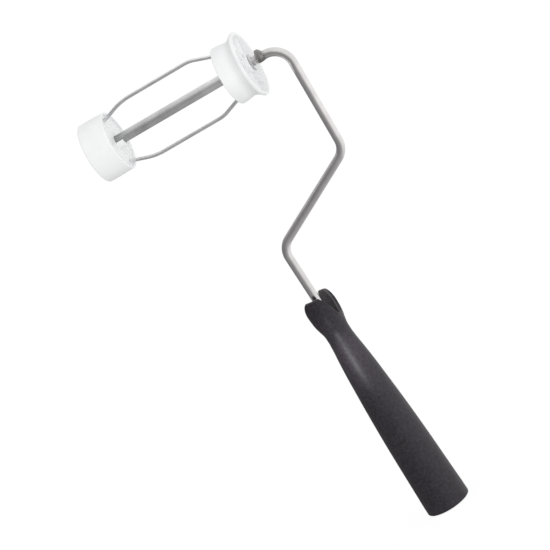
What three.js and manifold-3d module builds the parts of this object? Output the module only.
// A four-inch wire-cage mini paint roller frame.
// Frame of reference: millimetres, +Z up, the handle stands on its butt face at z = 0 with its
// axis on Z, the bent rod lies in the XZ plane and the roller cage turns about a line parallel to X.
import * as THREE from "three";
import { mergeVertices } from "three/addons/utils/BufferGeometryUtils.js";
import Module from "manifold-3d";

const wasm = await Module();
wasm.setup();

// ---------------------------------------------------------------- driving dimensions, mm
const CLEAR = 0.3; // running and seating gap between neighbouring pieces

// bent rod
const ROD_R = 2.5;
const ROD_BEND_R = [11.0, 11.0, 11.0];
const AXLE_Z = 274.0; // height of the cage axis
const ROD_TAIL_Z = 62.0; // lower end, inside the handle
const BEND_LOW_Z = 175.4; // first bend above the handle, on the handle axis
const BEND_MID = [59.6, 206.6]; // second bend, x and z
const BEND_TOP_X = 62.5; // third bend, on the cage axis
const ROD_END_X = -63.4;
const EAR_X0 = 45.8; // pressed stop: one tall tab and a low one opposite
const EAR_X1 = 50.4;
const EAR_R = 4.9;
const EAR_LOW_R = 2.9;
const EAR_T = 2.4;
const EAR_TILT = 65; // degrees from +Y towards +Z
const BARB_Z = [76.0, 96.0]; // pressed barbs in the handle
const BARB_R = 3.6;

// handle
const HANDLE_PROFILE = [
  [12.4, 0.0],
  [13.0, 0.35],
  [13.25, 1.2],
  [13.2, 6.0],
  [12.98, 14.0],
  [12.72, 24.0],
  [12.42, 36.0],
  [12.02, 48.0],
  [11.5, 60.0],
  [10.92, 71.0],
  [10.22, 82.0],
  [9.5, 93.0],
  [8.62, 103.0],
  [7.86, 110.0],
  [7.46, 115.5],
];
const SOCKET_R = 9.6; // extension pole socket
const SOCKET_DEPTH = 40.0;
const FLOOR_Z = 124.0; // floor of the collar, where the rod goes in
const FLOOR_R = 5.0;
const VALLEY_Z = 125.4; // rim height in the valleys of the collar
const VALLEY_RISE = 3.0; // how much higher the +X valley is than the -X one
const PETAL_Z = 142.6; // rim height on the two petals
const PETAL_NEAR = -28.0; // degrees from -Y towards +X
const PETAL_FAR = 152.0;

// cage
const WIRE_R = 1.05;
const WIRE_ORBIT = 18.0; // wire centre line, straight part
const WIRE_SEAT = 13.4; // wire centre line inside the end caps
const WIRE_BEND_R = [14.0, 34.0, 18.0, 12.0]; // bends from the outboard end on
const WIRE_STRAIGHT = [-31.8, 13.0]; // x of the two bends of the straight part
const SLEEVE_R = 3.1;
const SLEEVE_BORE = 2.75;
const SLEEVE_X = [-46.9, 30.7];

const HUB_R = 5.2;
const HUB_BORE = 2.85;
const HUB_SEAT = 3.4; // counterbore for the spacer tube

const OUT_FACE_X = -60.7; // outboard end cap
const OUT_RIM_X = -44.8;
const OUT_WEB = [-48.2, -46.0];
const IN_RIM_X = 26.7; // inboard end cap
const IN_FACE_X = 41.6;
const IN_WEB = [36.1, 38.1];
const FLANGE_R = 19.4;

// ---------------------------------------------------------------- helpers
const v2 = (x, y) => new THREE.Vector2(x, y);

function toSolid(geometry) {
  const g = (geometry.index ? geometry.toNonIndexed() : geometry.clone());
  g.deleteAttribute("normal");
  g.deleteAttribute("uv");
  const m = mergeVertices(g, 1e-4);
  const make = (flip) => {
    const t = new Uint32Array(m.index.array);
    if (flip)
      for (let i = 0; i < t.length; i += 3) [t[i + 1], t[i + 2]] = [t[i + 2], t[i + 1]];
    return new wasm.Manifold(
      new wasm.Mesh({ numProp: 3, vertProperties: m.attributes.position.array, triVerts: t }),
    );
  };
  const s = make(false);
  return s.volume() < 0 ? make(true) : s;
}

function toGeometry(solid) {
  const m = solid.getMesh();
  const n = m.numProp;
  const pos = new Float32Array((m.vertProperties.length / n) * 3);
  for (let i = 0; i < pos.length / 3; i++) {
    pos[3 * i] = m.vertProperties[n * i];
    pos[3 * i + 1] = m.vertProperties[n * i + 1];
    pos[3 * i + 2] = m.vertProperties[n * i + 2];
  }
  const g = new THREE.BufferGeometry();
  g.setAttribute("position", new THREE.BufferAttribute(pos, 3));
  g.setIndex(new THREE.BufferAttribute(new Uint32Array(m.triVerts), 1));
  g.computeVertexNormals();
  return g;
}

// A ring or disc turned about the X axis. Profile points are [radius, x]; a profile that does not
// touch the axis is closed on itself.
function turnedX(profile, segments) {
  const pts = profile.map(([r, x]) => v2(r, x));
  if (profile[0][0] > 1e-9) pts.push(pts[0].clone());
  const g = new THREE.LatheGeometry(pts, segments);
  // lathe axis Y -> X
  g.applyMatrix4(new THREE.Matrix4().makeRotationZ(-Math.PI / 2));
  return g;
}

// A curve made of straight runs and circular bends, with one radius for each bend. Its stations
// sit at the ends of the straight runs and evenly along each bend.
class BentLine extends THREE.Curve {
  constructor(corners, bends, perBend) {
    super();
    this.stations = [];
    const n = corners.length;
    this.add(corners[0], corners[1].clone().sub(corners[0]).normalize());
    for (let i = 1; i < n - 1; i++) {
      const d0 = corners[i].clone().sub(corners[i - 1]).normalize();
      const d1 = corners[i + 1].clone().sub(corners[i]).normalize();
      const turn = Math.acos(THREE.MathUtils.clamp(d0.dot(d1), -1, 1));
      const bendR = bends[i - 1];
      const t = bendR * Math.tan(turn / 2);
      const start = corners[i].clone().addScaledVector(d0, -t);
      const side = d1.clone().addScaledVector(d0, -d0.dot(d1)).normalize();
      const centre = start.clone().addScaledVector(side, bendR);
      for (let k = 0; k <= perBend; k++) {
        const a = (turn * k) / perBend;
        const p = centre
          .clone()
          .addScaledVector(side, -bendR * Math.cos(a))
          .addScaledVector(d0, bendR * Math.sin(a));
        const tan = d0.clone().multiplyScalar(Math.cos(a)).addScaledVector(side, Math.sin(a));
        this.add(p, tan.normalize());
      }
    }
    this.add(corners[n - 1], corners[n - 1].clone().sub(corners[n - 2]).normalize());
  }
  add(p, t) {
    this.stations.push({ p: p.clone(), t });
  }
  get steps() {
    return this.stations.length - 1;
  }
  at(u) {
    return this.stations[Math.round(u * this.steps)];
  }
  getPoint(u, target = new THREE.Vector3()) {
    return target.copy(this.at(u).p);
  }
  getPointAt(u, target) {
    return this.getPoint(u, target);
  }
  getTangent(u, target = new THREE.Vector3()) {
    return target.copy(this.at(u).t);
  }
  getTangentAt(u, target) {
    return this.getTangent(u, target);
  }
}

function bar(line, r, sides) {
  const pts = [];
  for (let i = 0; i < sides; i++) {
    const a = (2 * Math.PI * (i + 0.5)) / sides;
    pts.push(v2(r * Math.cos(a), r * Math.sin(a)));
  }
  return new THREE.ExtrudeGeometry(new THREE.Shape(pts), {
    steps: line.steps,
    extrudePath: line,
    bevelEnabled: false,
    curveSegments: 1,
  });
}

const box = (x0, x1, y0, y1, z0, z1) =>
  new THREE.BoxGeometry(x1 - x0, y1 - y0, z1 - z0).translate(
    (x0 + x1) / 2,
    (y0 + y1) / 2,
    (z0 + z1) / 2,
  );

// a round pin or hole along X, at height z above the cage axis
const pinX = (r, x0, x1, z, sides) =>
  new THREE.CylinderGeometry(r, r, x1 - x0, sides)
    .rotateZ(Math.PI / 2)
    .translate((x0 + x1) / 2, 0, z);

const polished = (hex, roughness) =>
  new THREE.MeshStandardMaterial({ color: hex, roughness, metalness: 1.0 });
const plastic = (hex, roughness) =>
  new THREE.MeshStandardMaterial({ color: hex, roughness, metalness: 0.0 });
const CHROME = polished(0xc4c2c0, 0.16);
const STEEL = polished(0xa9a9ab, 0.3);
const WHITE = plastic(0xeceff0, 0.42);
const BLACK = plastic(0x39373a, 0.5);

function piece(name, geometry, material) {
  const m = new THREE.Mesh(geometry, material);
  m.name = name;
  return m;
}

// ---------------------------------------------------------------- handle
const smooth = (t) => {
  const c = Math.min(1, Math.max(0, t));
  return c * c * (3 - 2 * c);
};
const wrap = (a) => ((((a + 180) % 360) + 360) % 360) - 180;
// 1 on a petal, 0 in a valley; angle in degrees from -Y towards +X
function petal(angle) {
  const near = wrap(angle - PETAL_NEAR);
  const far = wrap(angle - PETAL_FAR);
  const a = near > 0 ? 1 - smooth((near - 44) / 58) : 1 - smooth((-near - 12) / 74);
  const b = far > 0 ? 1 - smooth((far - 16) / 34) : 1 - smooth((-far - 22) / 34);
  return Math.max(a, b);
}
// collar outside radius: a bulb over a petal, a plain flare in a valley
function lerpTable(table, z) {
  for (let i = 1; i < table.length; i++)
    if (z <= table[i][0]) {
      const [z0, r0] = table[i - 1];
      const [z1, r1] = table[i];
      return r0 + ((r1 - r0) * (z - z0)) / (z1 - z0);
    }
  return table[table.length - 1][1];
}
const BULB = [
  [115.5, 7.46],
  [118.5, 7.5],
  [121.5, 8.0],
  [124.0, 8.85],
  [126.5, 9.5],
  [130.0, 9.92],
  [134.0, 9.98],
  [137.5, 9.7],
  [140.5, 9.0],
  [142.6, 8.1],
];
const FLARE = [
  [115.5, 7.46],
  [119.0, 7.45],
  [122.5, 7.75],
  [126.0, 8.2],
  [131.0, 8.9],
  [136.0, 9.3],
  [141.6, 8.6],
];
function handleGeometry() {
  const COLS = 40;
  const rings = [];
  const plain = (r, z) => rings.push(() => [r, z]);
  plain(SOCKET_R, SOCKET_DEPTH);
  plain(SOCKET_R, 0.8);
  plain(SOCKET_R + 0.5, 0.0);
  for (const [r, z] of HANDLE_PROFILE) plain(r, z);
  const OUTER = 8;
  const rimZ = (a) => {
    const low = VALLEY_Z + VALLEY_RISE * (0.5 + 0.5 * Math.sin(THREE.MathUtils.degToRad(a)));
    return low + (PETAL_Z - low) * petal(a);
  };
  const outR = (a, z) => {
    const p = petal(a);
    return lerpTable(FLARE, z) * (1 - p) + lerpTable(BULB, z) * p;
  };
  for (let k = 1; k <= OUTER; k++)
    rings.push((a) => {
      const top = rimZ(a) - 0.7;
      const z = 115.5 + ((top - 115.5) * k) / OUTER;
      return [outR(a, z), z];
    });
  const wall = 2.3;
  rings.push((a) => [outR(a, rimZ(a)) - 0.7, rimZ(a)]);
  rings.push((a) => [outR(a, rimZ(a)) - wall + 0.5, rimZ(a)]);
  rings.push((a) => {
    const z = rimZ(a) - 0.6;
    return [Math.max(outR(a, z) - wall, FLOOR_R + 0.4), z];
  });
  const INNER = 4;
  for (let k = 1; k < INNER; k++)
    rings.push((a) => {
      const top = rimZ(a) - 0.6;
      const z = top + ((FLOOR_Z + 0.4 - top) * k) / INNER;
      const t = k / INNER;
      const full = Math.max(outR(a, z) - wall, FLOOR_R + 0.3);
      return [full * (1 - t * t) + (FLOOR_R + 0.2) * t * t, z];
    });
  plain(FLOOR_R, FLOOR_Z);
  plain(ROD_R + CLEAR, FLOOR_Z);
  plain(ROD_R + CLEAR, ROD_TAIL_Z - 1);

  const pos = [];
  const index = [];
  for (const ring of rings)
    for (let c = 0; c < COLS; c++) {
      const a = (360 * c) / COLS;
      const [r, z] = ring(a);
      const t = THREE.MathUtils.degToRad(a);
      pos.push(r * Math.sin(t), -r * Math.cos(t), z);
    }
  const R = rings.length;
  for (let i = 0; i < R - 1; i++)
    for (let c = 0; c < COLS; c++) {
      const d = (c + 1) % COLS;
      const a = i * COLS + c;
      const b = i * COLS + d;
      const e = (i + 1) * COLS + c;
      const f = (i + 1) * COLS + d;
      index.push(a, b, f, a, f, e);
    }
  const low = pos.length / 3;
  pos.push(0, 0, SOCKET_DEPTH);
  const high = low + 1;
  pos.push(0, 0, ROD_TAIL_Z - 1);
  for (let c = 0; c < COLS; c++) {
    const d = (c + 1) % COLS;
    index.push(low, d, c);
    index.push(high, (R - 1) * COLS + c, (R - 1) * COLS + d);
  }
  const g = new THREE.BufferGeometry();
  g.setAttribute("position", new THREE.Float32BufferAttribute(pos, 3));
  g.setIndex(index);
  return g;
}
// pockets moulded round the rod's pressed barbs
const barbAt = (z, grow) =>
  box(-(BARB_R + grow), BARB_R + grow, -0.8 - grow, 0.8 + grow, z - 3 - grow, z + 3 + grow);
const handle = BARB_Z.reduce(
  (s, z) => s.subtract(toSolid(barbAt(z, CLEAR))),
  toSolid(handleGeometry()),
);

// ---------------------------------------------------------------- bent rod
const rodLine = new BentLine(
  [
    new THREE.Vector3(0, 0, ROD_TAIL_Z),
    new THREE.Vector3(0, 0, BEND_LOW_Z),
    new THREE.Vector3(BEND_MID[0], 0, BEND_MID[1]),
    new THREE.Vector3(BEND_TOP_X, 0, AXLE_Z),
    new THREE.Vector3(ROD_END_X, 0, AXLE_Z),
  ],
  ROD_BEND_R,
  8,
);
const earShape = new THREE.Shape([
  v2(EAR_X0, -1.8),
  v2(EAR_X0 + 0.3, -EAR_LOW_R),
  v2(EAR_X0 + 1.8, -EAR_LOW_R),
  v2(EAR_X1, -1.8),
  v2(EAR_X1, 1.8),
  v2(EAR_X0 + 2.1, EAR_R),
  v2(EAR_X0 + 0.4, EAR_R),
  v2(EAR_X0, EAR_R - 0.6),
]);
const ears = new THREE.ExtrudeGeometry(earShape, { depth: EAR_T, bevelEnabled: false })
  .translate(0, 0, -EAR_T / 2)
  .rotateX((EAR_TILT * Math.PI) / 180)
  .translate(0, 0, AXLE_Z);
let rod = toSolid(bar(rodLine, ROD_R, 20)).add(toSolid(ears));
for (const z of BARB_Z) rod = rod.add(toSolid(barbAt(z, 0)));

// ---------------------------------------------------------------- inboard end cap
const CAP_SEGMENTS = 44;
const inboardProfile = [
  [HUB_SEAT, 29.5],
  [HUB_R, 29.5],
  [HUB_R, IN_WEB[0]],
  [15.0, IN_WEB[0]],
  [15.5, 27.4],
  [15.9, IN_RIM_X],
  [16.6, IN_RIM_X],
  [17.05, IN_RIM_X + 0.45],
  [17.2, 28.2],
  [17.15, 29.4],
  [17.0, 31.5],
  [16.6, 33.6],
  [16.45, 35.0],
  [16.75, 36.5],
  [17.9, 38.4],
  [19.1, 39.8],
  [FLANGE_R, 40.3],
  [FLANGE_R, 41.2],
  [FLANGE_R - 0.4, IN_FACE_X],
  [17.4, IN_FACE_X],
  [16.9, IN_FACE_X - 0.5],
  [15.6, IN_WEB[1]],
  [HUB_R, IN_WEB[1]],
  [HUB_R, 42.3],
  [HUB_BORE, 42.3],
  [HUB_BORE, 31.0],
  [HUB_SEAT, 31.0],
].map(([r, x]) => [r, x]);
function spokes(count, x0, x1, r0, r1, thick, phase) {
  let s = null;
  for (let i = 0; i < count; i++) {
    const g = box(x0, x1, -thick / 2, thick / 2, r0, r1).rotateX(
      phase + (2 * Math.PI * i) / count,
    );
    s = s ? s.add(toSolid(g)) : toSolid(g);
  }
  return s;
}
let inboard = toSolid(turnedX(inboardProfile, CAP_SEGMENTS))
  .add(spokes(6, IN_WEB[1] - 0.4, 40.4, HUB_R - 0.6, 16.2, 1.2, Math.PI / 6));
for (const side of [1, -1]) {
  inboard = inboard.add(toSolid(pinX(2.3, 32.5, IN_WEB[0] + 0.4, side * WIRE_SEAT, 16)));
  inboard = inboard.subtract(
    toSolid(pinX(WIRE_R + CLEAR, 32, IN_WEB[1] + 3.2, side * WIRE_SEAT, 14)),
  );
}

// ---------------------------------------------------------------- outboard end cap
const outboardProfile = [
  [HUB_BORE, -59.6],
  [HUB_R, -59.6],
  [HUB_R, OUT_WEB[0]],
  [15.7, OUT_WEB[0]],
  [16.0, OUT_FACE_X + 0.4],
  [16.2, OUT_FACE_X],
  [16.4, OUT_FACE_X],
  [17.25, OUT_FACE_X + 0.5],
  [17.7, OUT_FACE_X + 1.6],
  [17.65, -53.0],
  [17.45, OUT_RIM_X - 0.6],
  [17.05, OUT_RIM_X],
  [16.2, OUT_RIM_X],
  [15.8, OUT_WEB[1]],
  [HUB_SEAT, OUT_WEB[1]],
  [HUB_SEAT, -47.2],
  [HUB_BORE, -47.2],
];
// half-round cradle that carries the end of the spacer tube
const cradleShape = new THREE.Shape();
cradleShape.absarc(0, 0, HUB_R, Math.PI, 2 * Math.PI, false);
cradleShape.absarc(0, 0, HUB_SEAT, 2 * Math.PI, Math.PI, true);
const cradle = new THREE.ExtrudeGeometry(cradleShape, {
  depth: 4.9,
  bevelEnabled: false,
  curveSegments: 12,
})
  .rotateY(Math.PI / 2)
  .rotateX(Math.PI / 2);
cradle.translate(OUT_WEB[1] - 0.4, 0, 0);
let outboard = toSolid(turnedX(outboardProfile, CAP_SEGMENTS))
  .add(toSolid(cradle))
  .add(spokes(6, -58.4, OUT_WEB[0] + 0.4, HUB_R - 0.6, 16.4, 1.2, Math.PI / 6));
for (const side of [1, -1]) {
  outboard = outboard.add(toSolid(pinX(2.3, -53.4, OUT_WEB[0] + 0.4, side * WIRE_SEAT, 16)));
  outboard = outboard.subtract(
    toSolid(pinX(WIRE_R + CLEAR, -54, OUT_WEB[1] + 1, side * WIRE_SEAT, 14)),
  );
}

// ---------------------------------------------------------------- cage wires and spacer tube
function wireGeometry(side) {
  const z = (r) => side * r;
  const P = (x, r) => new THREE.Vector3(x, 0, z(r));
  const line = new BentLine(
    [
      P(-52.8, WIRE_SEAT),
      P(-45.3, WIRE_SEAT),
      P(WIRE_STRAIGHT[0], WIRE_ORBIT),
      P(WIRE_STRAIGHT[1], WIRE_ORBIT),
      P(26.2, WIRE_SEAT),
      P(37.8, WIRE_SEAT),
    ],
    WIRE_BEND_R,
    4,
  );
  return bar(line, WIRE_R, 12);
}
const sleeveProfile = [
  [SLEEVE_BORE, SLEEVE_X[0]],
  [SLEEVE_R, SLEEVE_X[0]],
  [SLEEVE_R, SLEEVE_X[1]],
  [SLEEVE_BORE, SLEEVE_X[1]],
];

// ---------------------------------------------------------------- washers and retaining cap
const ring = (r0, r1, x0, x1) => [
  [r0, x0],
  [r1, x0],
  [r1, x1],
  [r0, x1],
];
// the retaining cap reaches as far outboard of the handle's axis as the rod's top bend does
const rodBar = bar(rodLine, ROD_R, 20);
rodBar.computeBoundingBox();
const REACH = rodBar.boundingBox.max.x;
const retainerProfile = [
  [0, -63.8],
  [ROD_R + CLEAR, -63.8],
  [ROD_R + CLEAR, -61.25],
  [5.2, -61.25],
  [5.2, -61.9],
  [3.95, -62.1],
  [3.8, -63.3],
  [3.1, -REACH + 0.35],
  [1.9, -REACH],
  [0, -REACH],
];

// ---------------------------------------------------------------- assembly
const roller = new THREE.Group();
const frameGroup = new THREE.Group();
const cageGroup = new THREE.Group();
roller.add(frameGroup, cageGroup);
cageGroup.position.set(0, 0, AXLE_Z);

frameGroup.add(
  piece("handle", toGeometry(handle), BLACK),
  piece("bent_rod", toGeometry(rod), CHROME),
  piece("inboard_washer", turnedX(ring(2.85, 5.0, 42.6, 43.6), 32).translate(0, 0, AXLE_Z), STEEL),
  piece("outboard_washer", turnedX(ring(2.85, 5.0, -60.9, -59.9), 32).translate(0, 0, AXLE_Z), STEEL),
  piece("axle_end_cap", toGeometry(toSolid(turnedX(retainerProfile, 32).translate(0, 0, AXLE_Z))), STEEL),
);
cageGroup.add(
  piece("inboard_end_cap", toGeometry(inboard), WHITE),
  piece("outboard_end_cap", toGeometry(outboard), WHITE),
  piece("cage_wire_upper", toGeometry(toSolid(wireGeometry(1))), STEEL),
  piece("cage_wire_lower", toGeometry(toSolid(wireGeometry(-1))), STEEL),
  piece("spacer_tube", turnedX(sleeveProfile, 32), CHROME),
);

export default roller;
